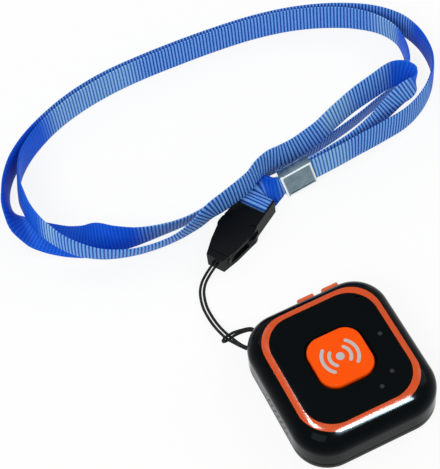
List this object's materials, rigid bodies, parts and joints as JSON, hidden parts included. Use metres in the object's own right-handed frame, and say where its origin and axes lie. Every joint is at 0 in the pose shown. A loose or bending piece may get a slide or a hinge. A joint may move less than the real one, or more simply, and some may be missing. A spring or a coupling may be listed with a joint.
{
  "type": "personal tracker",
  "caption": "Palm-size rounded square tracker with a call button, side keys and an accent ring, hung on a thin cord, a release clip and a ribbon neck strap.",
  "frame": {"origin": "middle of the back's resting plane", "axes": "+X to the wall with the port door, +Y to the wall with the side keys, +Z out of the face; the case lies on its back"},
  "size_m": [0.1381, 0.1458, 0.0249],
  "materials": {
    "case_plastic": "gloss black moulded plastic",
    "accent_plastic": "gloss orange moulded plastic",
    "button_plastic": "bright orange moulded plastic",
    "switch_plastic": "matt black moulded plastic",
    "plunger_plastic": "natural moulded plastic",
    "guide_plastic": "clear polished plastic",
    "board_laminate": "green solder mask on glass laminate",
    "antenna_ceramic": "fired ceramic with a printed patch",
    "tinned_sheet": "tinned pressed sheet",
    "copper_film": "copper on flexible film",
    "cell_foil": "aluminium laminated foil pouch",
    "adhesive_foam": "adhesive foam",
    "mesh_cloth": "woven acoustic mesh",
    "soft_rubber": "soft black rubber",
    "screw_steel": "zinc plated steel",
    "cord_yarn": "black braided yarn",
    "clip_plastic": "satin black moulded plastic",
    "ribbon_weave": "blue woven satin ribbon",
    "crimp_nickel": "nickel plated pressed sheet"
  },
  "bodies": {
    "case": {"front_shell": "case_plastic", "rear_shell": "case_plastic", "accent_ring": "accent_plastic", "alarm_switch": "switch_plastic", "power_switch": "switch_plastic", "call_switch": "switch_plastic", "speaker": "switch_plastic", "light_guide_a": "guide_plastic", "light_guide_b": "guide_plastic", "light_guide_c": "guide_plastic", "status_leds": "guide_plastic", "main_board": "board_laminate", "position_antenna": "antenna_ceramic", "radio_module": "tinned_sheet", "card_holder": "tinned_sheet", "usb_socket": "tinned_sheet", "microphone": "tinned_sheet", "cell_antenna": "copper_film", "battery": "cell_foil", "battery_pad": "adhesive_foam", "speaker_mesh": "mesh_cloth", "microphone_boot": "soft_rubber", "case_seal": "soft_rubber", "case_screws": "screw_steel", "strap_cord": "cord_yarn", "clip_plug": "clip_plastic"},
    "button": {"alarm_button": "button_plastic", "alarm_switch_stem": "plunger_plastic"},
    "power": {"power_key": "accent_plastic", "power_switch_stem": "plunger_plastic"},
    "call": {"call_key": "accent_plastic", "call_switch_stem": "plunger_plastic"},
    "door": {"port_door": "soft_rubber"},
    "lanyard": {"clip_socket": "clip_plastic", "ribbon_tab": "ribbon_weave", "ribbon_crimp": "crimp_nickel", "ribbon_outer": "ribbon_weave", "ribbon_inner": "ribbon_weave"}
  },
  "joints": [
    {"name": "alarm_press", "type": "slide", "parent": "case", "child": "button", "axis": [0, 0, -1], "range_m": [0, 0.0004], "stiffness_N_per_m": 6000, "springref_m": -0.0001},
    {"name": "power_press", "type": "slide", "parent": "case", "child": "power", "axis": [0, -1, 0], "range_m": [0, 0.00025], "stiffness_N_per_m": 6000, "springref_m": -0.0001},
    {"name": "call_press", "type": "slide", "parent": "case", "child": "call", "axis": [0, -1, 0], "range_m": [0, 0.00025], "stiffness_N_per_m": 6000, "springref_m": -0.0001},
    {"name": "door_swing", "type": "hinge", "parent": "case", "child": "door", "pos_m": [0.0202, -0.0086, 0.00675], "axis": [0, 0, -1], "range_deg": [0, 100]},
    {"name": "clip_release", "type": "slide", "parent": "case", "child": "lanyard", "axis": [0.8387, 0.5446, 0], "range_m": [0, 0.014]}
  ]
}
